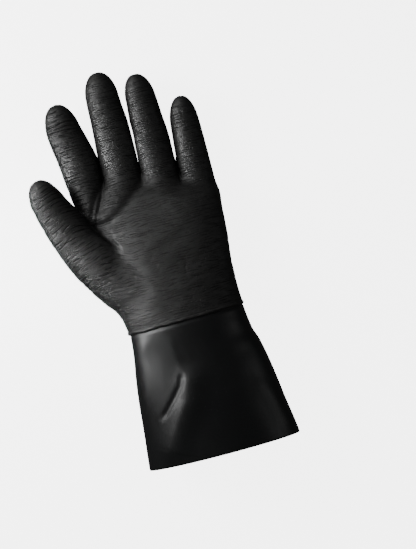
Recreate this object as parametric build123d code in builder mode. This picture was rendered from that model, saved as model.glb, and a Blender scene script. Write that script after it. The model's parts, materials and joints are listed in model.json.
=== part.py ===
"""Left-hand gauntlet work glove: a sewn knit liner inside a dipped rubber coating.

The coating is rough on the hand and smooth on the gauntlet.  The glove lies on its back, palm up.
Frame, in millimetres: the origin is the centre of the gauntlet's mouth, +Y runs from the mouth to the
fingers, +Z out of the palm and +X towards the little finger, so the thumb is on the -X side.

The skin bends where the hand inside it bends.  Stiff stretches of each finger are sleeves of coating
and liner, and the stretch over each joint is one skin of the full wall that changes shape.
"""

import math
import os
from dataclasses import dataclass

from build123d import *

# Walls
COATING = 1.1  # dipped rubber
LINER = 0.8  # knit fabric
BOND_GAP = 0.1  # between coating and liner, so that the two skins stay separate solids
LINER_OUTSIDE = COATING + BOND_GAP
WALL = LINER_OUTSIDE + LINER
ROUGH_LIP = 0.7  # how far the rough dip stands out over the smooth one at the wrist
SEAM_RADIUS = 0.9  # overlocked seam inside the gauntlet's liner

# Places along the glove, from the mouth
GAUNTLET_END = 100.0
ROUGH_EDGE = 122.0
WRIST_END = 142.0
FLOOR = -36.0  # the back of the glove lies at this height


@dataclass
class Oval:
    """A cross-section of the hand: its place along the glove and its sides."""

    along: float
    left: float
    right: float
    depth: float  # half the thickness, palm to back

    @property
    def half_width(self):
        return (self.right - self.left) / 2

    def plane(self):
        centre = ((self.left + self.right) / 2, self.along, FLOOR + self.depth)
        return Plane(origin=centre, x_dir=(1, 0, 0), z_dir=(0, 1, 0))


@dataclass
class Digit:
    """A finger or thumb: a tapering tube on a shallow arc that rises from the back towards the palm."""

    name: str
    base: tuple  # centre of the tube where it leaves the palm
    lean: float  # degrees from +Y towards +X
    rise: float  # degrees from level at the base
    curl: float  # degrees gained from base to tip
    length: float
    root: float  # half width at the base
    waist: float  # half width where the tip's dome starts
    flatness: float  # depth over width
    dome: float  # length of the rounded tip
    joints: tuple  # places of the joints along the tube
    reaches: tuple  # half the length of skin that bends at each joint

    def angle(self, s):
        return math.radians(self.rise + self.curl * s / self.length)

    def point(self, s):
        start, now = self.angle(0), self.angle(s)
        bend = math.radians(self.curl) / self.length
        ahead = (math.sin(now) - math.sin(start)) / bend
        up = (math.cos(start) - math.cos(now)) / bend
        lean = math.radians(self.lean)
        x, y, z = self.base
        return Vector(x + ahead * math.sin(lean), y + ahead * math.cos(lean), z + up)

    def across(self):
        lean = math.radians(self.lean)
        return Vector(math.cos(lean), -math.sin(lean), 0)

    def forward(self, s):
        lean, up = math.radians(self.lean), self.angle(s)
        level = math.cos(up)
        return Vector(level * math.sin(lean), level * math.cos(lean), math.sin(up))

    def plane(self, s):
        return Plane(origin=self.point(s), x_dir=self.across(), z_dir=self.forward(s))

    def half_width(self, s):
        dome_start = self.length - self.dome
        if s <= dome_start:
            return self.root + (self.waist - self.root) * s / dome_start
        return self.waist * math.sqrt(max(0.0, 1 - ((s - dome_start) / self.dome) ** 2))


FINGERS = [
    Digit("index", (-54, 258, -20.6), -4.8, 1, 13, 78.5, 16.3, 15.6, 0.90, 24, (13, 40, 61), (9, 9.5, 6.5)),
    Digit("middle", (-20.7, 260, -20.4), 2.6, 1, 14, 93.5, 16, 15.4, 0.91, 24, (13.5, 47, 71), (9, 9.5, 6.5)),
    Digit("ring", (12.6, 257, -21.0), 1.2, 1, 14, 86.5, 15.4, 14.0, 0.92, 22, (13, 43.5, 65.5), (8.5, 9, 6)),
    Digit("little", (44, 250, -22.4), 3.7, 1, 13, 64.8, 14.4, 12.2, 0.92, 19, (11.5, 32, 48.5), (7.5, 8, 5)),
]
THUMB = Digit("thumb", (-75.4, 219.6, -2.8), -20, 8, 6, 59.5, 18.8, 15.6, 0.86, 28, (11, 33), (9.5, 8.5))

GAUNTLET = [Oval(0, -67, 67, 36), Oval(50, -62, 62, 34.5), Oval(GAUNTLET_END, -53.2, 53.2, 31.8)]
SMOOTH_WRIST = [GAUNTLET[-1], Oval(112, -52, 51.8, 31.3), Oval(ROUGH_EDGE, -51.8, 51, 31)]
ROUGH_WRIST = [SMOOTH_WRIST[-1], Oval(132, -52.5, 50.5, 30.4), Oval(WRIST_END, -54, 50.3, 29.6)]
PALM = [
    ROUGH_WRIST[-1],
    Oval(165, -55.5, 51.5, 27.4),
    Oval(190, -56.5, 55, 25.2),
    Oval(212, -58, 56.8, 22.6),
    Oval(230, -62, 57.4, 19.2),
    Oval(247, -66, 57.6, 13.0),
]

# The ball of the thumb, from inside the palm to the thumb's base
BALL = [
    # centre, lean, half width, half depth
    ((-30, 153, -9), -33, 17, 17),
    ((-41, 166, -9), -33, 24, 21.5),
    ((-57, 191, -7.5), -31, 25, 19.5),
]
FINGER_ROOTS = [(-26, 0.5), (-9, 1), (0, 1)]  # place along a finger inside the palm, and its share of size
DOME_STEPS = (0, 25, 48, 66, 79, 87)  # degrees round a fingertip, one loft section at each
SEAM_INSET = 1.4  # from the liner's inner face to the seam's centre, at the ends of each oval


def oval_stations(ovals, inset):
    """(plane, half width, half depth) of each oval, shrunk by inset."""
    return [(o.plane(), o.half_width - inset, o.depth - inset) for o in ovals]


def station(digit, s, inset):
    half = digit.half_width(s)
    return digit.plane(s), half - inset, half * digit.flatness - inset


def digit_stations(digit, start, end, inset):
    """Stations along a stiff or bending stretch of a digit, shrunk by inset."""
    return [station(digit, s, inset) for s in (start, (start + end) / 2, end)]


def tip_stations(digit, start, inset):
    """Stations from start over the rounded tip, with the whole dome pulled in by inset."""
    found = [station(digit, start, inset)]
    first = digit.length - digit.dome
    height = digit.dome - inset
    for degrees in DOME_STEPS:
        turn = math.radians(degrees)
        s = first + height * math.sin(turn)
        if s > start + 1:
            half = (digit.waist - inset) * math.cos(turn)
            found.append((digit.plane(s), half, half * digit.flatness))
    return found


def ball_of_thumb_stations(inset):
    """Stations of the tube that carries the thumb's base out of the palm."""
    found = []
    for centre, lean, half_width, half_depth in BALL:
        turn = math.radians(lean)
        across = (math.cos(turn), -math.sin(turn), 0)
        along = (math.sin(turn), math.cos(turn), 0)
        plane = Plane(origin=centre, x_dir=across, z_dir=along)
        found.append((plane, half_width - inset, half_depth - inset))
    return found + [station(THUMB, 0, inset)]


def finger_root_stations(finger, inset):
    """Stations of the tube that carries a finger's base out of the palm, small where it starts."""
    found = []
    for s, share in FINGER_ROOTS:
        half = finger.half_width(s) * share
        found.append((finger.plane(s), half - inset, half * finger.flatness - inset))
    return found


def loft_through(stations, mode=Mode.ADD, ruled=False):
    """A solid loft through oval stations, added to or cut from the part being built."""
    sections = []
    for plane, half_width, half_depth in stations:
        with BuildSketch(plane) as section:
            Ellipse(half_width, half_depth)
        sections.append(section.sketch)
    loft(sections, ruled=ruled, mode=mode)


def sleeve(outer, inner):
    """A tube between two lofts."""
    with BuildPart() as tube:
        loft_through(outer)
        loft_through(inner, Mode.SUBTRACT)
    return tube


def hand_block(inset):
    """The palm, ball of the thumb and finger roots as one solid, shrunk all round by inset."""
    ovals = oval_stations(PALM[:-1], inset)
    last = PALM[-1]
    knuckles = Oval(last.along - inset, last.left, last.right, last.depth)
    ovals.append((knuckles.plane(), last.half_width - inset, last.depth - inset))
    with BuildPart() as block:
        loft_through(ovals)
        loft_through(ball_of_thumb_stations(inset))
        for finger in FINGERS:
            loft_through(finger_root_stations(finger, inset))
    return block


def hand_shell(outside, inside):
    """The hand's skin between two insets, open at the wrist and at each digit."""
    with BuildPart() as shell:
        add(hand_block(outside).part)
        add(hand_block(inside).part, mode=Mode.SUBTRACT)
    return shell


def front_and_back(shell, plane):
    """A shell cut into its palm side and its back, as the two liner panels are."""
    with BuildPart() as front:
        add(shell.part)
        split(bisect_by=plane, keep=Keep.TOP)
    with BuildPart() as back:
        add(shell.part)
        split(bisect_by=plane, keep=Keep.BOTTOM)
    return front, back


def write(name, built):
    built.part.label = name
    export_step(built.part, f"parts/{name}.step")


def seam_stations(side):
    """Stations of the round seam along one side of the gauntlet, inside its liner."""
    found = []
    for oval in GAUNTLET:
        offset = Vector(side * (oval.half_width - WALL - SEAM_INSET), 0, 0)
        plane = Plane(origin=oval.plane().origin + offset, x_dir=(1, 0, 0), z_dir=(0, 1, 0))
        found.append((plane, SEAM_RADIUS, SEAM_RADIUS))
    return found


def build_gauntlet():
    """The smooth sleeve from the mouth to the wrist, its two liner panels and their side seams."""
    coating = sleeve(oval_stations(GAUNTLET, 0), oval_stations(GAUNTLET, COATING))
    write("gauntlet_coating", coating)
    liner = sleeve(oval_stations(GAUNTLET, LINER_OUTSIDE), oval_stations(GAUNTLET, WALL))
    first, last = (o.plane().origin for o in (GAUNTLET[0], GAUNTLET[-1]))
    middle = Plane(origin=first, x_dir=(1, 0, 0), z_dir=Vector(1, 0, 0).cross(last - first))
    front, back = front_and_back(liner, middle)
    write("gauntlet_liner_front", front)
    write("gauntlet_liner_back", back)
    with BuildPart() as seams:
        for side in (-1, 1):
            loft_through(seam_stations(side), ruled=True)
    write("gauntlet_liner_seams", seams)


def build_wrist():
    """The skin that bends at the wrist: smooth below the rough dip's edge, rough above it."""
    smooth = sleeve(oval_stations(SMOOTH_WRIST, 0), oval_stations(SMOOTH_WRIST, COATING))
    write("wrist_smooth_coating", smooth)
    stands_out = zip(ROUGH_WRIST, (ROUGH_LIP, ROUGH_LIP / 2, 0))
    proud = [Oval(o.along, o.left - lip, o.right + lip, o.depth + lip / 2) for o, lip in stands_out]
    rough = sleeve(oval_stations(proud, 0), oval_stations(ROUGH_WRIST, COATING))
    write("wrist_rough_coating", rough)
    whole = SMOOTH_WRIST + ROUGH_WRIST[1:]
    liner = sleeve(oval_stations(whole, LINER_OUTSIDE), oval_stations(whole, WALL))
    write("wrist_liner", liner)


def build_hand():
    """The palm's rough coating and its two liner panels, with the ball of the thumb and the finger roots."""
    write("palm_coating", hand_shell(0, COATING))
    liner = hand_shell(LINER_OUTSIDE, WALL)
    low, high = PALM[0].plane().origin, FINGERS[1].point(0)
    middle = Plane(origin=low, x_dir=(1, 0, 0), z_dir=Vector(1, 0, 0).cross(high - low))
    front, back = front_and_back(liner, middle)
    write("palm_liner_front", front)
    write("palm_liner_back", back)


def build_digit(digit, joint_names, stretch_names):
    """A digit's bending skins and, between them, its stiff stretches of coating and liner."""
    bends = [(at - reach, at + reach) for at, reach in zip(digit.joints, digit.reaches)]
    bends[0] = (0.0, bends[0][1])
    for name, bend in zip(joint_names, bends):
        skin = sleeve(digit_stations(digit, *bend, 0), digit_stations(digit, *bend, WALL))
        write(f"{digit.name}_{name}_skin", skin)
    stretches = [(before[1], after[0]) for before, after in zip(bends, bends[1:])]
    for name, stretch in zip(stretch_names, stretches):
        coating = sleeve(digit_stations(digit, *stretch, 0), digit_stations(digit, *stretch, COATING))
        write(f"{digit.name}_{name}_coating", coating)
        outer = digit_stations(digit, *stretch, LINER_OUTSIDE)
        liner = sleeve(outer, digit_stations(digit, *stretch, WALL))
        write(f"{digit.name}_{name}_liner", liner)
    tip = bends[-1][1]
    coating = sleeve(tip_stations(digit, tip, 0), tip_stations(digit, tip, COATING))
    write(f"{digit.name}_tip_coating", coating)
    liner = sleeve(tip_stations(digit, tip, LINER_OUTSIDE), tip_stations(digit, tip, WALL))
    write(f"{digit.name}_tip_liner", liner)


os.makedirs("parts", exist_ok=True)
build_gauntlet()
build_wrist()
build_hand()
for one in FINGERS:
    build_digit(one, ("knuckle", "middle_joint", "tip_joint"), ("proximal", "middle"))
build_digit(THUMB, ("knuckle", "tip_joint"), ("proximal",))
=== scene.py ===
"""Left-hand gauntlet glove: a rough, crinkled rubber hand on a smooth flared cuff, with a knit liner inside.

The hand is one surface, wrapped round rounded forms (palm, thumb, four fingers) that melt into each other.
It is then cut into pieces at stiff places, one round each joint of the CAD model and one for the palm.
Lengths are in millimetres up to the point where a mesh is made, in the CAD model's frame.
"""

import json
import math

import bpy
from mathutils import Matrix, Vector
import numpy as np


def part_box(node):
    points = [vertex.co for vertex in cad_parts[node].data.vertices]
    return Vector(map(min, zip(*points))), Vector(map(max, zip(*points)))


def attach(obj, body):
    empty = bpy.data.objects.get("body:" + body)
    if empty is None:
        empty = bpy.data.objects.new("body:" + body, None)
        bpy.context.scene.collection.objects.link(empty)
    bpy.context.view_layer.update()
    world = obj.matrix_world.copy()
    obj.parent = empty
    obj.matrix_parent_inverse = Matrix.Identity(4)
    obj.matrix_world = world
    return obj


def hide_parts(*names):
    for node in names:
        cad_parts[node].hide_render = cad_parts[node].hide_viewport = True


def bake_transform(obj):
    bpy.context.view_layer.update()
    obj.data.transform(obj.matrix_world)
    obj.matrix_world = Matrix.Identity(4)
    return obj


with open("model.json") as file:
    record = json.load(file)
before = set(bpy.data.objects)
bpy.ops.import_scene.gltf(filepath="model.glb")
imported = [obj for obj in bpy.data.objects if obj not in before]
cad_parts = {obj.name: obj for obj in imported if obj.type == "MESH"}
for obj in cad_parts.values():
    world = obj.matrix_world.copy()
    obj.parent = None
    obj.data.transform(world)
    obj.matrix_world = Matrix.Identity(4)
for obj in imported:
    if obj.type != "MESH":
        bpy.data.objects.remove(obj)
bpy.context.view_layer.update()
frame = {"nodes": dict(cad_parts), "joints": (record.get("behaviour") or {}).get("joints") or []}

MM = 0.001

# ---------------------------------------------------------------- sizes
FLOOR_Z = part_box("gauntlet_coating")[0].z / MM  # the back of the glove lies here
COAT = 1.1  # wall of the rubber coating
THIN_COAT = 0.35  # wall of the rough dip where it lies over the smooth one
LINER_OUT = 1.2  # from the outside to the liner's outer face
LINER_IN = 2.0  # from the outside to the liner's inner face
ROUGH_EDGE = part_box("wrist_rough_coating")[0].y / MM  # where the rough dip ends at the wrist
LIP = 0.7  # how far the rough dip stands out there
CELL = 0.8  # size of the mesh's quads on the hand


# ---------------------------------------------------------------- small maths
def smooth(x, low, high):
    """0 below low, 1 above high and a smooth rise between them."""
    t = np.clip((np.asarray(x, float) - low) / (high - low), 0, 1)
    return t * t * (3 - 2 * t)


def bell(x, width):
    """1 at 0, falling to nearly 0 two widths away."""
    return np.exp(-((np.asarray(x, float) / width) ** 2))


def spline(at, places, values):
    """A smooth curve through (place, value) pairs, without overshoot."""
    places, values = np.asarray(places, float), np.asarray(values, float)
    run = np.diff(places)
    slope = np.diff(values) / run
    tangent = np.empty(len(values))
    tangent[0], tangent[-1] = slope[0], slope[-1]
    flat = slope[1:] * slope[:-1] <= 0
    mean = 2 / (1 / np.where(flat, 1, slope[1:]) + 1 / np.where(flat, 1, slope[:-1]))
    tangent[1:-1] = np.where(flat, 0, mean)
    at = np.clip(at, places[0], places[-1])
    i = np.clip(np.searchsorted(places, at, side="right") - 1, 0, len(run) - 1)
    h = run[i]
    t = (at - places[i]) / h
    a = (1 + 2 * t) * (1 - t) ** 2 * values[i] + t * (1 - t) ** 2 * h * tangent[i]
    return a + t * t * (3 - 2 * t) * values[i + 1] + t * t * (t - 1) * h * tangent[i + 1]


def hashed(x, y, z, seed):
    """A repeatable value from 0 to 1 for each lattice point."""
    n = x.astype(np.int64) * 374761393 + y.astype(np.int64) * 668265263
    n = (n + z.astype(np.int64) * 2147483647 + seed * 1274126177) & 0xFFFFFFFF
    n = ((n ^ (n >> 13)) * 1274126177) & 0xFFFFFFFF
    n = ((n ^ (n >> 16)) * 2246822519) & 0xFFFFFFFF
    return ((n ^ (n >> 15)) & 0xFFFFFF) / float(0xFFFFFF)


def noise(p, size, seed=0):
    """Smooth noise from -1 to 1 at points p, in lumps of the given size along each axis."""
    q = p / np.asarray(size, float)
    cell = np.floor(q)
    f = q - cell
    f = f * f * f * (f * (f * 6 - 15) + 10)
    total = 0.0
    for dx in (0, 1):
        for dy in (0, 1):
            for dz in (0, 1):
                share = 1.0
                for axis, d in enumerate((dx, dy, dz)):
                    share = share * (f[:, axis] if d else 1 - f[:, axis])
                total = total + share * hashed(cell[:, 0] + dx, cell[:, 1] + dy, cell[:, 2] + dz, seed)
    return 2 * total - 1


# ---------------------------------------------------------------- the hand's forms
class Tube:
    """A digit: a rounded tube whose middle line, width and depth are smooth curves along it."""

    def __init__(self, name, base, lean, stations, dome, roundness=2.15):
        self.name = name
        self.base = np.array(base, float)
        self.lean = math.radians(lean)
        self.stations = np.array(stations, float)  # along, sideways, half width, height, half depth
        self.length = self.stations[-1, 0]
        self.dome = dome
        self.roundness = roundness
        self.start = self.stations[0, 0]

    def local(self, x, y):
        """(across, along) of a point in the tube's own plan frame."""
        dx, dy = x - self.base[0], y - self.base[1]
        c, s = math.cos(self.lean), math.sin(self.lean)
        return dx * c - dy * s, dx * s + dy * c

    def curve(self, v, column):
        """A column of the stations, at v along the tube."""
        return spline(v, self.stations[:, 0], self.stations[:, column])

    def field(self, x, y, z):
        """Signed distance, roughly, for points on a grid: x, y in plan and z by height."""
        u, v = self.local(x, y)
        side, half = self.curve(v, 1), self.curve(v, 2)
        height, deep = self.curve(v, 3), self.curve(v, 4)
        tip = np.clip((v - (self.length - self.dome)) / self.dome, 0, 1)
        cap = np.maximum(1 - tip**self.roundness, 0) ** (1 / self.roundness)
        cap = np.maximum(cap, 0.02)
        across = (u - side)[..., None] / (half * cap)[..., None]
        up = (z - height[..., None]) / (deep * cap)[..., None]
        ring = np.sqrt(across**2 + up**2)
        d = (ring - 1) * np.minimum(half, deep)[..., None]
        beyond = (v - self.length)[..., None]
        d = np.where(beyond > 0, np.maximum(d, beyond + 0.3), d)
        root = np.maximum(self.start + 18 - v, 0)[..., None]
        return d + 0.05 * root**2  # it shrinks away towards its start, inside the palm


def section(y):
    """The forearm, wrist and palm at y: middle, half width, middle height, half depth and squareness."""
    left = spline(y, [0, 50, 70, 85, 100, 110, 122, 142, 165, 190, 215, 226, 237, 247, 257],
                  [-67, -62, -59.4, -57, -54.2, -52.9, -51.9, -55, -56.5, -57, -58, -58.5, -54, -49, -43])
    right = spline(y, [0, 20, 40, 60, 80, 90, 100, 122, 142, 165, 190, 215, 240, 256],
                   [68, 66.2, 64.3, 62, 59, 56.8, 53.6, 51.4, 51.6, 52.8, 56.2, 58, 58.4, 57])
    deep = spline(y, [0, 50, 100, 122, 142, 165, 190, 215, 240, 256],
                  [36, 34.5, 31.8, 31, 29.6, 27.6, 25.4, 22.4, 17.6, 14])
    square = spline(y, [0, 122, 165, 215, 256], [2, 2, 2.2, 2.5, 2.6])
    return (left + right) / 2, (right - left) / 2, FLOOR_Z + deep, deep, square


PALM_END = 258.0  # the web beside the middle finger
PALM_ROUNDS = 26.0  # the length that rounds off to it
# each digit: name, root, lean, stations (along, sideways, half width, height, half depth), length of the dome
FINGERS = [
    Tube("index", (-54, 258, -20.6), -3, [
        (-46, -4.4, 6, -13, 10), (-32, -3.2, 9.5, -14, 13), (-18, -1.2, 13.2, -16.5, 14.5),
        (0, -0.3, 16.2, -19.4, 15), (22, 0.2, 17.4, -20, 15), (42, -1.3, 16.8, -18, 14.6),
        (56, -2.6, 15.8, -15.5, 13.8), (78.3, -2.4, 15, -10, 12.4)], 26),
    Tube("middle", (-20.7, 260, -20.4), 2.5, [
        (-50, -20, 13, -15, 14), (-36, -18.7, 17, -15, 17.5), (-24, -11.8, 19.5, -16.5, 16.5),
        (-12, -4.3, 19.2, -18.5, 15.6), (0, 0, 17, -20.2, 15.2), (24, 0.9, 17.9, -19.9, 15.2),
        (44, 0.2, 16.7, -17.8, 14.8), (70, -0.4, 15, -12.8, 13.6), (93.4, -0.4, 14.2, -8, 12.4)], 23),
    Tube("ring", (12.6, 257, -21), 1.2, [
        (-46, -2, 12, -20, 12), (-20, -0.6, 15.4, -20.6, 14), (0, -0.4, 16.6, -21, 14.6),
        (24, -0.4, 16.8, -20.4, 14.6), (40, 0.3, 15.5, -18.6, 14), (64, 0.6, 13.8, -13.8, 12.8),
        (86.2, 0.2, 12.6, -9.5, 11.4)], 21),
    Tube("little", (44, 250, -22.4), 3.7, [
        (-50, -1, 13, -21.5, 12), (-26, 0.4, 15, -22, 13), (0, -0.2, 15, -22.4, 13.4),
        (18, -0.1, 14.5, -21.9, 13.2), (34, -0.2, 13.5, -20.3, 12.4), (44, -0.3, 13, -18.6, 12),
        (64.6, 0, 12.4, -14, 11)], 24),
]
THUMB = Tube("thumb", (-75.4, 219.6, -2.8), -19, [
    (-84, 17, 13, -8, 15), (-66, 10.2, 20.8, -9, 20), (-52, 8.7, 23.8, -9, 22), (-31, 5.7, 25, -8, 21),
    (-12, 1.8, 22.1, -6, 18.5), (0, -0.1, 19.8, -3.4, 16.6), (13.5, -1, 18.3, -1, 15.6),
    (26, -1.5, 16.5, 1.2, 14.6), (38, -1.4, 15, 3.2, 13.6), (57.2, 0, 13.8, 6.6, 12)], 24)
DIGITS = FINGERS + [THUMB]


# ---------------------------------------------------------------- one skin round the forms
GRID_LOW = np.array([-110.0, 112.0, FLOOR_Z - 4])
GRID_HIGH = np.array([66.0, 358.0, 28.0])
FINGER_WEB = 1.6  # reach of the rounding between two fingers
SLIT = 1.1  # gap kept between the middle and ring fingers, while the skin is wrapped round them
SLIT_START = 262  # where it starts: the web between them


def melt(a, b, reach):
    """The union of two distance fields, rounded where they meet."""
    h = np.clip(0.5 + 0.5 * (b - a) / reach, 0, 1)
    return b + (a - b) * h - reach * h * (1 - h)


def palm_field(x, y, z):
    """Signed distance, roughly, from the forearm and palm."""
    middle, half, height, deep, square = section(y)
    across = np.abs((x - middle) / half)[..., None]
    up = np.abs((z - height[..., None]) / deep[..., None])
    n = square[..., None]
    ring = (across**n + up**n) ** (1 / n)
    end = PALM_END - 9 * smooth(x, 4, 30)
    past = np.maximum(y - end + PALM_ROUNDS, 0) / PALM_ROUNDS
    return (ring - 1 + past[..., None] ** 2) * deep[..., None]


def even(field, cell):
    """The field divided by its slope, so that it measures distance near the surface."""
    gx, gy, gz = np.gradient(field, cell)
    return field / np.clip(np.sqrt(gx**2 + gy**2 + gz**2), 0.35, 6)


def hand_field(cell):
    """The grid's axes, and the signed distance from the whole hand at its points."""
    axes = [np.arange(lo, hi, cell) for lo, hi in zip(GRID_LOW, GRID_HIGH)]
    x, y = np.meshgrid(axes[0], axes[1], indexing="ij")
    z = axes[2][None, None, :]
    palm = even(palm_field(x, y, z), cell)
    thumb = even(THUMB.field(x, y, z), cell)
    thumb_web = 2.0 + 12 * (1 - smooth(y, 150, 206))
    whole = melt(palm, thumb, thumb_web[..., None])
    fingers = even(FINGERS[0].field(x, y, z), cell)
    for finger in FINGERS[1:]:
        one = even(finger.field(x, y, z), cell)
        joined = melt(fingers, one, FINGER_WEB)
        if finger.name == "ring":  # it touches the middle finger, and their skins stay apart down to the web
            slit = SLIT / 2 - np.abs(fingers - one) / 2
            joined = np.where((y > SLIT_START)[..., None], np.maximum(joined, slit), joined)
        fingers = joined
    web = 2.0 + 5 * smooth(x, -46, -26)
    back = smooth(-z, 14, 26)
    return axes, melt(whole, fingers, web[..., None] * (1 - back) + 9 * back)


def wrap(axes, field):
    """Surface nets: one point in each cell that the surface crosses, joined into quads."""

    def flat(i, j, k):
        return (i * field.shape[1] + j) * field.shape[2] + k

    inside = field < 0
    origin = np.array([a[0] for a in axes])
    cell = axes[0][1] - axes[0][0]
    total = np.zeros((field.size, 3), np.float32)
    count = np.zeros(field.size, np.float32)
    rings = []
    for axis in range(3):
        low = [slice(None)] * 3
        high = [slice(None)] * 3
        low[axis], high[axis] = slice(None, -1), slice(1, None)
        crossed = np.argwhere(inside[tuple(low)] != inside[tuple(high)])
        step = np.eye(3, dtype=int)[axis]
        a = field[tuple(crossed.T)]
        b = field[tuple((crossed + step).T)]
        spot = crossed + step * (a / (a - b))[:, None]
        u, v = np.eye(3, dtype=int)[(axis + 1) % 3], np.eye(3, dtype=int)[(axis + 2) % 3]
        turns = ((1, 1), (0, 1), (0, 0), (1, 0))  # the four cells round a crossed edge
        around = [flat(*(crossed - du * u - dv * v).T) for du, dv in turns]
        for cells in around:
            for k in range(3):
                total[:, k] += np.bincount(cells, spot[:, k], field.size).astype(np.float32)
            count += np.bincount(cells, minlength=field.size).astype(np.float32)
        quad = np.stack(around, 1)
        quad[~(a < 0)] = quad[~(a < 0)][:, ::-1]
        rings.append(quad)
    used = np.flatnonzero(count)
    points = total[used] / count[used, None] * cell + origin
    number = np.full(field.size, -1)
    number[used] = np.arange(len(used))
    return points.astype(float), number[np.concatenate(rings)]


def sample(axes, grid, points):
    """Trilinear values of a grid at points."""
    cell = axes[0][1] - axes[0][0]
    q = (points - [a[0] for a in axes]) / cell
    i = np.clip(np.floor(q).astype(int), 0, np.array(grid.shape) - 2)
    f = q - i
    total = 0.0
    for dx in (0, 1):
        for dy in (0, 1):
            for dz in (0, 1):
                share = np.ones(len(points))
                for axis, d in enumerate((dx, dy, dz)):
                    share = share * (f[:, axis] if d else 1 - f[:, axis])
                total = total + share * grid[i[:, 0] + dx, i[:, 1] + dy, i[:, 2] + dz]
    return total


def settle(axes, field, points, rounds=2):
    """Points moved onto the surface, with the surface's normals there."""
    cell = axes[0][1] - axes[0][0]
    slopes = [g.astype(np.float32) for g in np.gradient(field, cell)]
    for turn in range(rounds + 1):
        normal = np.stack([sample(axes, g, points) for g in slopes], 1)
        size = np.linalg.norm(normal, axis=1)[:, None] + 1e-9
        normal = normal / size
        if turn < rounds:
            points = points - normal * (sample(axes, field, points)[:, None] / size).clip(-0.8, 0.8)
    return points, normal


# ---------------------------------------------------------------- folds and creases laid on the surface
def along_path(p, path):
    """Signed distance in plan from a path, and how far along it (0 to 1) the nearest place is."""
    path = np.asarray(path, float)
    lengths = np.linalg.norm(np.diff(path, axis=0), axis=1)
    total, gone = lengths.sum(), 0.0
    best = np.full(len(p), 1e9)
    share = np.zeros(len(p))
    sign = np.ones(len(p))
    for a, b, length in zip(path[:-1], path[1:], lengths):
        way = (b - a) / length
        t = np.clip((p[:, :2] - a) @ way, 0, length)
        off = p[:, :2] - a - t[:, None] * way
        d = np.linalg.norm(off, axis=1)
        near = d < best
        best = np.where(near, d, best)
        share = np.where(near, (gone + t) / total, share)
        sign = np.where(near, np.sign(way[0] * off[:, 1] - way[1] * off[:, 0]), sign)
        gone += length
    return best * sign, share


def fold(p, normal, path, width, height, steep=1.0, face=1):
    """A fold's height at each point: a ridge (or a groove, if negative) that fades at both ends.

    steep under 1 makes the flank on the path's left that much narrower.  face is 1 on the palm side,
    -1 on the back."""
    d, share = along_path(p, path)
    reach = np.where(d > 0, width * steep, width)
    ends = smooth(share, 0, 0.22) * smooth(1 - share, 0, 0.22)
    side = smooth(face * normal[:, 2], 0.05, 0.35)
    return height * bell(d, reach) * ends * side


HAND_FOLDS = [
    # path, width, height, steepness, face
    ([(-62, 219), (-56, 229), (-50, 242), (-42, 254), (-37, 264)], 1.8, -1.2, 2.0, 1),
    ([(-62, 223), (-44, 221), (-31, 228), (-19, 237), (-8, 246), (0, 258)], 5.0, -1.3, 0.8, 1),
    ([(-60, 229), (-53, 217), (-47, 209), (-40, 200), (-36, 194)], 2.0, -1.5, 0.8, 1),
    ([(-52, 218), (-46, 213), (-40, 206)], 2.2, -0.8, 1, 1),
    ([(-46, 190), (-40, 196), (-34, 203)], 5.0, 0.3, 1, 1),
    ([(16, 158), (10, 180), (2, 198)], 18, -1.0, 1, 1),
    ([(-24, 128), (-22, 146), (-14, 168)], 10, 0.6, 0.8, 1),
    ([(-5, 130), (20, 127), (44, 131)], 5, -0.5, 1, 1),
    ([(-50, 236), (-20, 243), (14, 240), (46, 232)], 7, 1.2, 1, -1),
    ([(-44, 214), (-10, 226), (30, 220)], 9, -0.9, 1, -1),
    ([(-40, 140), (0, 134), (40, 141)], 5, -0.8, 1, -1),
]
CUFF_FOLDS = [
    ([(-18, 118), (-17, 100), (-15, 84), (-17, 70)], 4.5, 0.3, 0.9, 1),
    ([(-8, 90), (-10, 74), (-16, 57), (-26, 43), (-35, 30), (-42, 18), (-47, 2)], 9.5, 2.9, 1.4, 1),
    ([(-14, 84), (-20, 70), (-29, 60), (-37, 52), (-46, 44)], 2.6, -1.0, 1, 1),
    ([(-34, 122), (-44, 108), (-56, 92)], 7, 0.45, 0.8, 1),
    ([(14, 110), (30, 113), (48, 108)], 6.0, 0.3, 1, 1),
    ([(14, 84), (32, 81), (50, 84)], 5.0, -0.2, 1, 1),
    ([(10, 64), (30, 61), (48, 63)], 5.0, -0.15, 1, 1),
    ([(42, 60), (54, 40), (64, 6)], 7.0, 0.6, 1, 1),
    ([(-52, 114), (-20, 110), (16, 113), (50, 109)], 6.0, -0.6, 1, -1),
    ([(-40, 96), (-18, 76), (-22, 52), (-8, 26)], 8.0, 1.3, 0.8, -1),
    ([(20, 100), (34, 82), (30, 60), (42, 34)], 7.0, 1.0, 1, -1),
    ([(6, 90), (20, 84), (34, 88)], 5.0, -0.4, 1, -1),
]


def folded(p, normal, folds):
    """The heights of several folds, added up."""
    total = np.zeros(len(p))
    for path, width, height, steep, face in folds:
        total += fold(p, normal, path, width, height, steep, face)
    return total


# ---------------------------------------------------------------- the rough dip's crinkles
def thumb_share(p):
    """How much a point belongs to the thumb's own direction, from 0 to 1."""
    u, v = THUMB.local(p[:, 0], p[:, 1])
    inner = THUMB.curve(v, 1) + THUMB.curve(v, 2)
    return smooth(inner - u, -2, 14) * smooth(v, -75, -20)


def grain(p):
    """Coordinates that follow the skin: across the digit, along it, and by height."""
    share = thumb_share(p)
    u, v = THUMB.local(p[:, 0], p[:, 1])
    u, v = u + THUMB.base[0], v + THUMB.base[1]
    return np.stack([p[:, 0] + share * (u - p[:, 0]), p[:, 1] + share * (v - p[:, 1]), p[:, 2]], 1)


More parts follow.
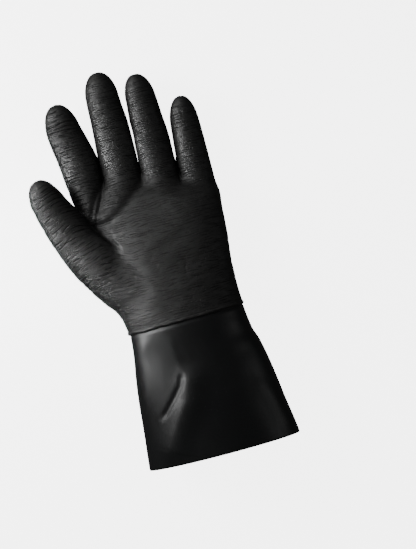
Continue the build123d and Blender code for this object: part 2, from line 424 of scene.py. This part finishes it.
def nearest_tip(p):
    """Distance to the nearest fingertip, measured back along its digit."""
    best = np.full(len(p), 1e9)
    for digit in DIGITS:
        u, v = digit.local(p[:, 0], p[:, 1])
        inside = np.abs(u - digit.curve(v, 1)) < digit.curve(v, 2) + 3
        best = np.where(inside, np.minimum(best, np.abs(digit.length - v)), best)
    return best


def crinkle(p):
    """Height of the crinkles: long folds across the skin, deepest on the thumb and by the index finger."""
    g = grain(p)
    g = g + noise(g, (22, 22, 22), 3)[:, None] * (0, 2.2, 0)
    patch = 0.5 + 0.5 * noise(g, (26, 18, 26), 31)
    outer = thumb_share(p) * smooth(-p[:, 0], 40, 70)
    index_side = smooth(-p[:, 0], 48, 62) * smooth(p[:, 1], 225, 250)
    mound = bell(along_path(p, [(-50, 234), (-24, 262)])[0], 9)
    folded_skin = np.clip(outer + index_side + 0.5 * mound, 0, 1) * (0.6 + 0.4 * patch)
    calm = smooth(nearest_tip(p), 3, 18)
    long_lines = smooth(np.abs(noise(g, (24, 5.0, 24), 23)), 0.0, 0.22) - 1
    heel = bell(p[:, 1] - 165, 22) * smooth(p[:, 2], -20, -5)
    height = (0.05 + 0.05 * patch + 0.34 * folded_skin + 0.2 * heel) * long_lines
    waves = 0.10 * noise(g, (22, 5, 22), 11)
    pebbles = 0.03 * noise(g, (2.8, 2.4, 2.8), 53)
    return height * calm + waves + pebbles


# ---------------------------------------------------------------- meshes
def shell(name, outer, quads, inner, normals=None):
    """A closed skin: the outer surface, the inner one turned round, and a rim at each open edge.

    Also returns which of the given points it uses."""
    used, flat = np.unique(quads, return_inverse=True)
    faces = flat.reshape(quads.shape)
    count = len(used)
    points = np.concatenate([outer[used], inner[used]])
    parts = [faces, faces[:, ::-1] + count]
    edges = np.stack([faces, np.roll(faces, -1, axis=1)], 2).reshape(-1, 2)
    key = edges.min(1) * count + edges.max(1)
    _, first, times = np.unique(key, return_index=True, return_counts=True)
    open_edges = edges[first[times == 1]]
    a, b = open_edges[:, 0], open_edges[:, 1]
    parts.append(np.stack([b, a, a + count, b + count], 1))
    piece = mesh_object(name, points, np.concatenate(parts))
    soft = np.arange(len(piece.data.polygons)) < 2 * len(faces)
    piece.data.polygons.foreach_set("use_smooth", soft)
    if normals is not None:  # those of the whole surface, so that the pieces' borders do not show
        corner = np.empty(len(piece.data.loops), np.int32)
        piece.data.loops.foreach_get("vertex_index", corner)
        at_corner = np.concatenate([normals[used], -normals[used]])[corner]
        rim_start = 2 * faces.size
        at_corner[rim_start:] = 0
        piece.data.normals_split_custom_set(at_corner.tolist())
    return piece, used


def mesh_object(name, points, quads):
    """An object with the given points, in millimetres, and faces of four corners."""
    mesh = bpy.data.meshes.new(name)
    mesh.vertices.add(len(points))
    mesh.vertices.foreach_set("co", (np.asarray(points, float) * MM).astype(np.float32).ravel())
    mesh.loops.add(quads.size)
    mesh.loops.foreach_set("vertex_index", quads.astype(np.int32).ravel())
    mesh.polygons.add(len(quads))
    mesh.polygons.foreach_set("loop_start", np.arange(0, quads.size, quads.shape[1], dtype=np.int32))
    mesh.polygons.foreach_set("use_smooth", np.ones(len(quads), bool))
    mesh.update(calc_edges=True)
    mesh.validate()
    piece = bpy.data.objects.new(name, mesh)
    bpy.context.scene.collection.objects.link(piece)
    return piece


def keep_skin(piece, places):
    """Store each point's place on the skin, the same for both sides of a shell, for the materials to read."""
    data = piece.data.attributes.new("skin", "FLOAT_VECTOR", "POINT")
    both = np.concatenate([places, places]) * MM
    data.data.foreach_set("vector", both.astype(np.float32).ravel())


def surface_normals(points, quads):
    """The mean normal of the faces round each point."""
    a, b, c, d = (points[quads[:, k]] for k in range(4))
    face = np.cross(c - a, d - b)
    total = np.zeros_like(points)
    for k in range(4):
        for axis in range(3):
            total[:, axis] += np.bincount(quads[:, k], face[:, axis], len(points))
    return total / (np.linalg.norm(total, axis=1)[:, None] + 1e-12)


# ---------------------------------------------------------------- the hand, cut into pieces
JOINTS = {j["name"]: j for j in frame["joints"]}
WRIST_BEND = (ROUGH_EDGE - 22, ROUGH_EDGE + 22)  # stretch of the glove that bends at the wrist
PALM_START = ROUGH_EDGE + 28  # the hand's wrist piece ends here and its palm piece starts
BENDS = {  # half the length that bends at each joint, from the root to the tip
    "index": (12, 12.5, 7), "middle": (12.5, 13, 7.5), "ring": (12, 12.5, 7), "little": (10.5, 10, 5.5),
    "thumb": (8, 8),
}
FINGER_LINKS = ("knuckle", "middle_joint", "tip_joint")
THUMB_LINKS = ("knuckle", "tip_joint")
BEYOND_LINK = {"knuckle": "proximal", "middle_joint": "middle", "tip_joint": "tip"}  # the stretch past it
LABELS = 10  # a face's label is its digit's number times this, plus its joint's number


def digit_chain(name):
    """A digit, its joints' names from the root, their places along it, and its bodies from the palm on."""
    links = THUMB_LINKS if name == "thumb" else FINGER_LINKS
    digit = next(d for d in DIGITS if d.name == name)
    places = []
    bodies = ["palm"]
    for link in links:
        joint = JOINTS[f"{name}_{link}"]
        x, y, _ = (c / MM for c in joint["pos_m"])
        places.append(float(digit.local(np.array(x), np.array(y))[1]))
        bodies.append(joint["child"])
    return digit, links, places, bodies


def on_digit(digit, v):
    """The point on a digit's middle line, in metres."""
    v = np.array(float(v))
    side, c, s = float(digit.curve(v, 1)), math.cos(digit.lean), math.sin(digit.lean)
    x = digit.base[0] + side * c + float(v) * s
    y = digit.base[1] - side * s + float(v) * c
    return (x * MM, y * MM, float(digit.curve(v, 3)) * MM)


def zones(name):
    """For each joint of a digit: its piece's start and end along the digit, and its bend's start and end."""
    digit, links, places, bodies = digit_chain(name)
    bends = [(at - half, at + half) for at, half in zip(places, BENDS[name])]
    cuts = [bends[0][0]]
    cuts += [(a[1] + b[0]) / 2 for a, b in zip(bends[:-1], bends[1:])]
    cuts.append(1e9)
    return digit, links, bodies, list(zip(cuts[:-1], cuts[1:], bends))


def sort_faces(points, quads):
    """Label each face with its digit and the joint that it bends at: -1 for the palm and wrist."""
    centre = points[quads].mean(1)
    closest = np.full(len(centre), 1e9)
    label = np.full(len(centre), -1)
    for number, digit in enumerate(DIGITS):
        _, v = digit.local(centre[:, 0], centre[:, 1])
        d = digit.field(centre[:, 0], centre[:, 1], centre[:, 2:3])[:, 0]
        _, _, _, stretches = zones(digit.name)
        piece = np.full(len(centre), -1)
        for k, (start, end, _) in enumerate(stretches):
            piece = np.where((v >= start) & (v < end), number * LABELS + k, piece)
        nearer = (d < closest) & (v > stretches[0][0] - 30)
        closest = np.where(nearer, d, closest)
        label = np.where(nearer, piece, label)
    return label, centre


def bend_at_wrist(piece):
    """Bake the placing of a piece that lies between the gauntlet and the palm into its points."""
    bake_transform(piece)


def cut_and_ride(kind, points, quads, outer, inner, replaced, skin):
    """Make the pieces of one skin of the hand, and carry the palm's piece with its body."""
    label, centre = sort_faces(points, quads)
    made = []
    normals = surface_normals(outer, quads)
    wrist = (label < 0) & (centre[:, 1] < PALM_START)
    jobs = [(f"wrist_{kind}", wrist, ("gauntlet", "palm"), WRIST_BEND, None),
            (f"palm_{kind}", (label < 0) & ~wrist, ("palm",), None, None)]
    for number, digit in enumerate(DIGITS):
        _, links, bodies, stretches = zones(digit.name)
        for k, (link, (_, _, bend)) in enumerate(zip(links, stretches)):
            name = f"{digit.name}_{link}_{kind}"
            jobs.append((name, label == number * LABELS + k, bodies[k:k + 2], bend, digit))
    for name, chosen, bodies, bend, digit in jobs:
        if not chosen.any():
            continue
        piece, used = shell(name, outer, quads[chosen], inner, normals)
        keep_skin(piece, skin[used])
        if bend is None:
            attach(piece, bodies[0])
        elif digit is None:
            bend_at_wrist(piece)
        else:
            on_digit(digit, bend[0])
            on_digit(digit, bend[1])
            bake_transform(piece)
        nodes = replaced(name)
        if nodes:
            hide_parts(*nodes)
        made.append(piece)
    return made


NODES = set(frame["nodes"])


def coat_nodes(name):
    """The CAD nodes that a piece of the rough coating stands for."""
    where = name[: -len("_coat")]
    if where == "wrist":
        return ["wrist_rough_coating"]
    if where == "palm":
        return ["palm_coating"]
    digit, link = where.split("_", 1)
    return [n for n in (f"{where}_skin", f"{digit}_{BEYOND_LINK[link]}_coating") if n in NODES]


def lining_nodes(name):
    """The CAD nodes that a piece of the knit lining stands for."""
    where = name[: -len("_lining")]
    if where == "wrist":
        return ["wrist_liner"]
    if where == "palm":
        return ["palm_liner_front", "palm_liner_back"]
    digit, link = where.split("_", 1)
    return [n for n in (f"{digit}_{BEYOND_LINK[link]}_liner",) if n in NODES]


def edge_profile(y):
    """How far the rough dip stands out, from its rounded edge inwards."""
    back = y - ROUGH_EDGE
    bead = 1.25 * bell(back - 1.6, 1.5)
    return LIP * (bead + 0.75 * (1 - smooth(back, 0, 20))) * smooth(back, -0.4, 1.3)


def hand_lift(points, normal):
    """Height of the hand's folds and soft unevenness over its plain forms."""
    x, y = points[:, 0], points[:, 1]
    between = x + 4 - 0.052 * (y - 250)  # sideways distance from the gap between the middle and ring fingers
    touching = bell(between, 4) * smooth(y, 256, 261) * (1 - smooth(y, 284, 292))
    swell = 0.48 * touching * np.abs(normal[:, 0])  # the two skins swell until they almost meet
    return folded(points, normal, HAND_FOLDS) + 0.35 * noise(grain(points), (24, 22, 24), 41) + swell


def pressed(outer):
    """How far the outer surface rises where it would dip below the floor it lies on."""
    softness = 1.0  # height over which it flattens
    under = np.minimum(outer[:, 2] - FLOOR_Z - softness, 0.0) / softness
    return (softness * (np.exp(under) - under - 1.0))[:, None] * (0, 0, 1)


def build_hand():
    """The rough dip over the whole hand, from its ragged edge at the wrist to the fingertips."""
    axes, field = hand_field(CELL)
    points, quads = wrap(axes, field)
    points, normal = settle(axes, field, points)
    keep = points[quads][:, :, 1].min(1) > ROUGH_EDGE - 0.1
    quads = quads[keep]
    points = points + normal * hand_lift(points, normal)[:, None]
    normal = surface_normals(points, quads)
    skin = grain(points)
    rough = smooth(points[:, 1], ROUGH_EDGE, ROUGH_EDGE + 5)
    lift = crinkle(points) * (0.3 + 0.7 * rough) + edge_profile(points[:, 1])
    outer = points + normal * lift[:, None]
    over_smooth = points[:, 1] < ROUGH_EDGE + 16
    wall = np.where(over_smooth, THIN_COAT, COAT)
    inner = points - normal * wall[:, None]
    wave = 0.9 * noise(points, (19, 60, 19), 71) + 0.35 * noise(points, (6, 60, 6), 73)
    shift = (wave * bell(points[:, 1] - ROUGH_EDGE, 7))[:, None] * (0, 1, 0) + pressed(outer)
    return cut_and_ride("coat", points, quads, outer + shift, inner + shift, coat_nodes, skin)


def build_hand_lining():
    """The knit liner of the hand, inside the rough dip."""
    axes, field = hand_field(2 * CELL)
    field = field + LINER_OUT
    points, quads = wrap(axes, field)
    points, normal = settle(axes, field, points)
    keep = points[quads][:, :, 1].min(1) > LINING_JOIN
    quads = quads[keep]
    points = points + normal * hand_lift(points, normal)[:, None]
    points = points + pressed(points + normal * LINER_OUT)
    inner = points - normal * (LINER_IN - LINER_OUT)
    return cut_and_ride("lining", points, quads, points, inner, lining_nodes, grain(points))


# ---------------------------------------------------------------- the gauntlet
CUFF_END = ROUGH_EDGE + 9  # the smooth coating runs on under the rough one
LINING_JOIN = ROUGH_EDGE - 4.0  # the gauntlet's liner panels meet the hand's liner here
AROUND = 420  # points round the gauntlet
ALONG = 150  # and along it
MOUTH_HALF_WIDTH = 67  # of the oval that the points are spread round evenly
MOUTH_HALF_DEPTH = 36


def hemmed(p):
    """Points moved so that the gauntlet's mouth is cut a little aslant, as a trimmed edge is."""
    _, half, height, deep, _ = section(p[:, 1])
    hem = 2.7 - 1.5 * p[:, 0] / half + 2.2 * (p[:, 2] - height) / deep
    return p + (hem * (1 - smooth(p[:, 1], 0, 45)))[:, None] * (0, 1, 0)


def cuff_grid(start, end, rows, columns=AROUND, first=0.0, last=2 * math.pi):
    """Points of the gauntlet's outer surface, rows by columns, evenly spaced round the oval."""
    dense = np.linspace(0, 2 * math.pi, 2001)
    run = np.sqrt((MOUTH_HALF_WIDTH * np.sin(dense)) ** 2 + (MOUTH_HALF_DEPTH * np.cos(dense)) ** 2)
    length = np.concatenate([[0], np.cumsum((run[1:] + run[:-1]) / 2)])
    low, high = np.interp([first, last], dense, length)
    closed = last - first > 6.28
    turn = np.interp(np.linspace(low, high, columns, endpoint=not closed), length, dense)
    y = np.linspace(start, end, rows)
    middle, half, height, deep, _ = section(y)
    x = middle[:, None] + half[:, None] * np.cos(turn)
    z = height[:, None] + deep[:, None] * np.sin(turn)
    points = hemmed(np.stack([x, np.broadcast_to(y[:, None], x.shape), z], 2).reshape(-1, 3))
    i, j = np.meshgrid(np.arange(rows - 1), np.arange(columns if closed else columns - 1), indexing="ij")
    k = (j + 1) % columns
    quads = np.stack([i * columns + j, (i + 1) * columns + j, (i + 1) * columns + k, i * columns + k], -1)
    return points, quads.reshape(-1, 4)


def cuff_lift(p, normal):
    """Height of the gauntlet's folds and soft waves over the plain oval."""
    free = smooth(ROUGH_EDGE - p[:, 1], 2, 16)
    lift = folded(p, normal, CUFF_FOLDS)
    lift += 0.5 * noise(p, (60, 44, 60), 83) + 0.08 * noise(p, (20, 16, 20), 87)
    return lift * (0.35 + 0.65 * free)


def build_cuff():
    """The smooth dip: the gauntlet's outer skin, with a rounded edge at its mouth."""
    points, quads = cuff_grid(0, CUFF_END, ALONG)
    normal = surface_normals(points, quads)
    lift = cuff_lift(points, normal)
    lift -= 0.6 * smooth(points[:, 1], ROUGH_EDGE - 3, ROUGH_EDGE + 0.5)
    from_rim = np.repeat(np.linspace(0, CUFF_END, ALONG), AROUND)
    rounding = 0.45 * (1 - smooth(from_rim, 0, 1.8)) ** 2
    outer = points + normal * (lift - rounding)[:, None]
    inner = points + normal * (lift - COAT)[:, None]
    rise = pressed(outer)
    piece, used = shell("gauntlet_coat", outer + rise, quads, inner + rise)
    keep_skin(piece, points[used])
    finish_cuff(piece, "smooth_rubber", "gauntlet_coating", "wrist_smooth_coating")
    return piece


def finish_cuff(piece, slot, *nodes):
    """Bake a piece of the gauntlet's placing into its points, and hide the CAD nodes it stands for; slot, its
    material's name, is not used.
    """
    bend_at_wrist(piece)
    if nodes:
        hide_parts(*nodes)


def build_cuff_lining():
    """The front and back knit panels inside the gauntlet."""
    pieces = []
    for name, first in (("front", 0.0), ("back", math.pi)):
        points, quads = cuff_grid(0.3, LINING_JOIN, ALONG, AROUND // 2, first, first + math.pi)
        normal = surface_normals(points, quads)
        lift = cuff_lift(points, normal)
        rib = 0.10 * np.sin(points[:, 1] * 2 * math.pi / 1.6)
        outer = points + normal * (lift - LINER_OUT)[:, None]
        inner = points + normal * (lift - LINER_IN + rib)[:, None]
        rise = pressed(points + normal * lift[:, None])
        piece, used = shell(f"gauntlet_lining_{name}", outer + rise, quads, inner + rise)
        keep_skin(piece, points[used])
        finish_cuff(piece, "knit_liner", f"gauntlet_liner_{name}")
        pieces.append(piece)
    return pieces


def tube_along(path, radius, sides=6):
    """A thin closed thread that follows a path."""
    path = np.asarray(path, float)
    way = np.gradient(path, axis=0)
    way /= np.linalg.norm(way, axis=1)[:, None]
    helper = np.cross(way, (0.0, 0.35, 0.94))  # a direction that the thread never follows
    helper /= np.linalg.norm(helper, axis=1)[:, None]
    other = np.cross(way, helper)
    turn = np.linspace(0, 2 * math.pi, sides, endpoint=False)
    ring = helper[:, None] * np.cos(turn)[:, None] + other[:, None] * np.sin(turn)[:, None]
    points = (path[:, None] + radius * ring).reshape(-1, 3)
    i, j = np.meshgrid(np.arange(len(path) - 1), np.arange(sides), indexing="ij")
    k = (j + 1) % sides
    quads = np.stack([i * sides + j, i * sides + k, (i + 1) * sides + k, (i + 1) * sides + j], -1)
    return points, quads.reshape(-1, 4)


def build_seams():
    """Overlocked thread over the lining's two side seams."""
    pitch, reach, radius = 2.2, 1.7, 0.28
    end = LINING_JOIN - 2
    turns = int(end / pitch)
    step = np.linspace(0, turns, turns * 12 + 1)
    y = 0.8 + step * pitch
    middle, half, height, _, _ = section(y)
    all_points, all_quads, base = [], [], 0
    for side in (-1, 1):
        for phase in (0, math.pi):
            swing = np.sin(step * 2 * math.pi + phase) * reach
            stand = 0.5 * np.abs(np.cos(step * 2 * math.pi + phase))
            inset = LINER_IN + radius + 0.25 + stand + 0.04 * swing**2
            x = middle + side * (half - inset)
            points, quads = tube_along(hemmed(np.stack([x, y, height + swing], 1)), radius)
            all_points.append(points)
            all_quads.append(quads + base)
            base += len(points)
    piece = mesh_object("gauntlet_lining_seams", np.concatenate(all_points), np.concatenate(all_quads))
    finish_cuff(piece, "seam_thread", "gauntlet_liner_seams")
    return piece


# ---------------------------------------------------------------- materials
class Nodes:
    """A short way to write a node material."""

    def __init__(self, name):
        self.material = bpy.data.materials.new(name)
        self.material.use_nodes = True
        self.tree = self.material.node_tree
        self.shader = self.tree.nodes["Principled BSDF"]

    def add(self, kind, inputs=None, **settings):
        """A new node, with its settings and what goes into it."""
        node = self.tree.nodes.new(kind)
        for key, value in settings.items():
            setattr(node, key, value)
        for key, value in (inputs or {}).items():
            self.put(node.inputs[key], value)
        return node

    def put(self, socket, value):
        """Link or set an input."""
        if isinstance(value, bpy.types.NodeSocket):
            self.tree.links.new(value, socket)
        elif value is not None:
            socket.default_value = value

    def skin(self, scale):
        """Skin coordinates in lumps of the given size in millimetres, across, along and by height."""
        where = self.add("ShaderNodeAttribute", attribute_name="skin")
        times = [1 / (s * MM) for s in scale]
        inputs = {0: where.outputs["Vector"], 1: times}
        return self.add("ShaderNodeVectorMath", inputs, operation="MULTIPLY").outputs[0]

    def noise(self, scale, detail=2.0, roughness=0.5):
        """Cloudy noise from 0 to 1, in lumps of the given size in millimetres."""
        inputs = {"Vector": self.skin(scale), "Scale": 1.0, "Detail": detail, "Roughness": roughness}
        return self.add("ShaderNodeTexNoise", inputs).outputs["Fac"]

    def cracks(self, scale):
        """0 on the borders of cells of the given size in millimetres, and 1 inside them."""
        inputs = {"Vector": self.skin(scale), "Scale": 1.0, "Randomness": 0.95}
        node = self.add("ShaderNodeTexVoronoi", inputs, feature="DISTANCE_TO_EDGE")
        return self.ramp(node.outputs["Distance"], (0.0, 0.16), (0.0, 1.0))

    def lines(self, long, spacing):
        """1 in thin grooves across the skin, which wander, end and begin again, and 0 between them.

        They are about `long` millimetres long and `spacing` millimetres apart."""
        along = self.add("ShaderNodeSeparateXYZ", {"Vector": self.skin((spacing,) * 3)}).outputs["Y"]
        wander = self.math("MULTIPLY", self.noise((1.5 * long, 4 * spacing, 1.5 * long), 1), 2.4)
        groove = self.ramp(self.math("PINGPONG", self.math("ADD", along, wander), 0.5), (0.0, 0.17), (1, 0))
        where = self.ramp(self.noise((0.7 * long, 1.7 * spacing, 0.7 * long), 1), (0.45, 0.57), (0, 1))
        return self.math("MULTIPLY", groove, where)

    def ramp(self, value, between, values):
        """A straight rise from one of the two values to the other, while the input is between its limits."""
        inputs = {"Value": value, "From Min": between[0], "From Max": between[1],
                  "To Min": values[0], "To Max": values[1]}
        return self.add("ShaderNodeMapRange", inputs).outputs["Result"]

    def math(self, operation, a, b=0.0):
        """A sum, product or the like."""
        return self.add("ShaderNodeMath", {0: a, 1: b}, operation=operation).outputs[0]

    def mix(self, share, a, b):
        """A colour between a and b."""
        node = self.add("ShaderNodeMix", data_type="RGBA")
        self.put(node.inputs["Factor"], share)
        self.put(node.inputs["A"], (*a, 1) if isinstance(a, tuple) else a)
        self.put(node.inputs["B"], (*b, 1) if isinstance(b, tuple) else b)
        return node.outputs["Result"]

    def bump(self, height, depth):
        """The normal of a surface that height raises by up to depth, in millimetres."""
        inputs = {"Height": height, "Distance": depth * MM, "Strength": 1.0}
        return self.add("ShaderNodeBump", inputs).outputs["Normal"]

    def paint(self, share, dark, light):
        """A base colour from dark, where share is 0, to light, where it is 1."""
        self.put(self.shader.inputs["Base Color"], self.mix(share, dark, light))


def rough_rubber():
    """Matt dipped rubber: long fine wrinkles across the skin, a crackle of cells and a pebbled surface, with
    painted shade in its grooves.
    """
    n = Nodes("rough_rubber")
    across = n.add("ShaderNodeSeparateXYZ", {"Vector": n.skin((1, 1, 1))}).outputs["X"]  # in millimetres
    thumb_side = n.ramp(across, (-40, -60), (0.2, 1.5))
    bold = n.math("MULTIPLY", n.lines(20, 3.5), thumb_side)
    middling = n.math("MULTIPLY", n.lines(15, 2.1), 0.9)
    fine = n.math("ADD", middling, n.math("MULTIPLY", n.lines(10, 1.5), 0.6))
    grooves = n.math("ADD", bold, fine)
    cracks = n.cracks((8, 2.6, 8))
    pebble = n.noise((0.8, 0.6, 0.8), 2, 0.6)
    patches = n.noise((22, 16, 22), 2, 0.5)
    height = n.math("SUBTRACT", n.math("MULTIPLY", cracks, 0.2), grooves)
    height = n.math("ADD", height, n.math("MULTIPLY", pebble, 0.14))
    # Painted shade: the colour is darker in the grooves and along the cells' borders, where shade falls in
    # the creases; the patches' slow change of tone is the rubber's own.
    tone = n.math("SUBTRACT", n.math("MULTIPLY", cracks, 0.2), n.math("MULTIPLY", grooves, 1.2))
    tone = n.math("ADD", tone, n.ramp(patches, (0.3, 0.7), (0.58, 0.82)))
    n.paint(n.ramp(tone, (0.2, 0.95), (0, 1)), (0.003, 0.003, 0.003), (0.013, 0.013, 0.0125))
    n.put(n.shader.inputs["Roughness"], n.ramp(n.math("ADD", pebble, patches), (0.6, 1.4), (0.60, 0.48)))
    n.put(n.shader.inputs["Specular IOR Level"], n.ramp(grooves, (0.0, 1.1), (0.55, 0.24)))
    n.put(n.shader.inputs["Normal"], n.bump(height, 0.30))
    return n.material


def smooth_rubber():
    """Satin dipped rubber, with faint streaks and a very fine orange peel."""
    n = Nodes("smooth_rubber")
    streaks = n.noise((9, 30, 9), 3, 0.6)
    peel = n.noise((1.1, 1.4, 1.1), 2, 0.5)
    specks = n.noise((0.35, 0.35, 0.35), 1, 0.5)
    height = n.math("ADD", n.math("MULTIPLY", peel, 0.5), n.math("MULTIPLY", specks, 0.12))
    n.paint(n.ramp(streaks, (0.3, 0.7), (0, 1)), (0.0046, 0.0050, 0.0054), (0.0076, 0.0080, 0.0084))
    n.put(n.shader.inputs["Roughness"], n.ramp(streaks, (0.3, 0.7), (0.44, 0.36)))
    n.shader.inputs["Specular IOR Level"].default_value = 0.5
    n.put(n.shader.inputs["Normal"], n.bump(height, 0.10))
    return n.material


def knit():
    """Fine cotton knit: rows of small stitches."""
    n = Nodes("knit_liner")
    across = {"Vector": n.skin((1.6, 1.6, 1.6)), "Scale": 1.0, "Distortion": 0.6, "Detail": 1.0}
    rows = n.add("ShaderNodeTexWave", across, wave_type="BANDS", bands_direction="Y")
    along = {"Vector": n.skin((1.3, 1.3, 1.3)), "Scale": 1.0, "Distortion": 1.2, "Detail": 1.0}
    wales = n.add("ShaderNodeTexWave", along, wave_type="BANDS", bands_direction="X")
    fuzz = n.noise((0.3, 0.3, 0.3), 2, 0.6)
    stitch = n.math("MULTIPLY", rows.outputs["Fac"], wales.outputs["Fac"])
    tone = n.math("ADD", n.math("MULTIPLY", stitch, 0.7), n.math("MULTIPLY", fuzz, 0.4))
    n.paint(tone, (0.30, 0.29, 0.26), (0.66, 0.64, 0.59))
    n.shader.inputs["Roughness"].default_value = 0.92
    n.shader.inputs["Sheen Weight"].default_value = 0.25
    n.put(n.shader.inputs["Normal"], n.bump(tone, 0.35))
    return n.material


def thread():
    """Twisted cotton thread."""
    n = Nodes("seam_thread")
    place = n.add("ShaderNodeTexCoord")
    lumps = n.add("ShaderNodeTexNoise", {"Vector": place.outputs["Object"], "Scale": 2600.0, "Detail": 2.0})
    n.paint(lumps.outputs["Fac"], (0.48, 0.46, 0.41), (0.76, 0.74, 0.69))
    n.shader.inputs["Roughness"].default_value = 0.9
    n.put(n.shader.inputs["Normal"], n.bump(lumps.outputs["Fac"], 0.15))
    return n.material


def plain_floor():
    """White paper, lit through from below."""
    n = Nodes("floor")
    grainy = n.add("ShaderNodeTexNoise", {"Scale": 40.0, "Detail": 2.0})
    n.paint(grainy.outputs["Fac"], (0.93, 0.93, 0.93), (0.95, 0.95, 0.95))
    n.shader.inputs["Roughness"].default_value = 0.9
    n.shader.inputs["Emission Color"].default_value = (1, 1, 1, 1)
    n.shader.inputs["Emission Strength"].default_value = 5.0
    return n.material


def wear(pieces, material):
    """Give the pieces this material and no other."""
    for piece in pieces:
        piece.data.materials.clear()
        piece.data.materials.append(material)


# ---------------------------------------------------------------- the photographer's table
VIEW_CENTRE = (28.8, 154.9)  # the point of the glove's middle plane under the camera
VIEW_DISTANCE = 1000.0
VIEW_HEIGHT = 484.9  # what the picture takes in, top to bottom, at the glove's middle plane
VIEW_TURN = 16.0  # degrees the glove is turned in the picture
MIDDLE_PLANE = -10.0  # height of the glove's middle plane
FLOOR_HALF = 3000.0  # half the width of the floor
ROOM = 0.05  # strength of the light that comes from everywhere


def camera():
    """A camera straight above, turned as the picture is."""
    lens = bpy.data.cameras.new("camera")
    lens.sensor_width = 36
    lens.lens = 36 * VIEW_DISTANCE / VIEW_HEIGHT
    lens.clip_end = 20
    eye = bpy.data.objects.new("camera", lens)
    bpy.context.scene.collection.objects.link(eye)
    eye.location = (VIEW_CENTRE[0] * MM, VIEW_CENTRE[1] * MM, (MIDDLE_PLANE + VIEW_DISTANCE) * MM)
    eye.rotation_euler = (0, 0, -math.radians(VIEW_TURN))
    bpy.context.scene.camera = eye


def area_light(name, place, aim, size, power, spread=180.0):
    """A square soft light that faces aim: lengths in metres, power in watts and spread in degrees."""
    data = bpy.data.lights.new(name, "AREA")
    data.energy = power
    data.size = size
    data.spread = math.radians(spread)
    lamp = bpy.data.objects.new(name, data)
    bpy.context.scene.collection.objects.link(lamp)
    lamp.location = place
    lamp.visible_camera = False
    way = np.array(aim, float) - np.array(place, float)
    lamp.rotation_euler = Vector(way).to_track_quat("-Z", "Y").to_euler()


def studio():
    """A pale floor that does not light the glove, a dim room and soft lights from the thumb's side."""
    corners = [(FLOOR_HALF * i, FLOOR_HALF * j, FLOOR_Z) for i, j in ((-1, -1), (1, -1), (1, 1), (-1, 1))]
    plane = mesh_object("floor", corners, np.array([[0, 1, 2, 3]]))
    wear([plane], plain_floor())
    plane.visible_glossy = False
    plane.visible_diffuse = False
    world = bpy.data.worlds.new("world")
    world.use_nodes = True
    background = world.node_tree.nodes["Background"]
    background.inputs["Color"].default_value = (1, 1, 1, 1)
    background.inputs["Strength"].default_value = ROOM
    bpy.context.scene.world = world
    area_light("key", (-0.44, 0.42, 0.29), (-0.03, 0.2, 0), 0.30, 3.6)
    area_light("low", (-0.55, 0.28, 0.11), (-0.07, 0.218, 0), 0.12, 0.13, 26)
    area_light("mouth", (0.0, -0.5, 0.02), (0, 0.1, 0), 0.12, 0.6)
    area_light("fill", (0.95, 0.0, 0.45), (0, 0.1, 0), 0.5, 0.5)
    area_light("back", (-0.3, 1.2, 0.6), (0, 0.2, 0), 0.5, 2.5)


# ---------------------------------------------------------------- put it together
camera()
studio()
wear(build_hand(), rough_rubber())
wear([build_cuff()], smooth_rubber())
wear(build_hand_lining() + build_cuff_lining(), knit())
wear([build_seams()], thread())
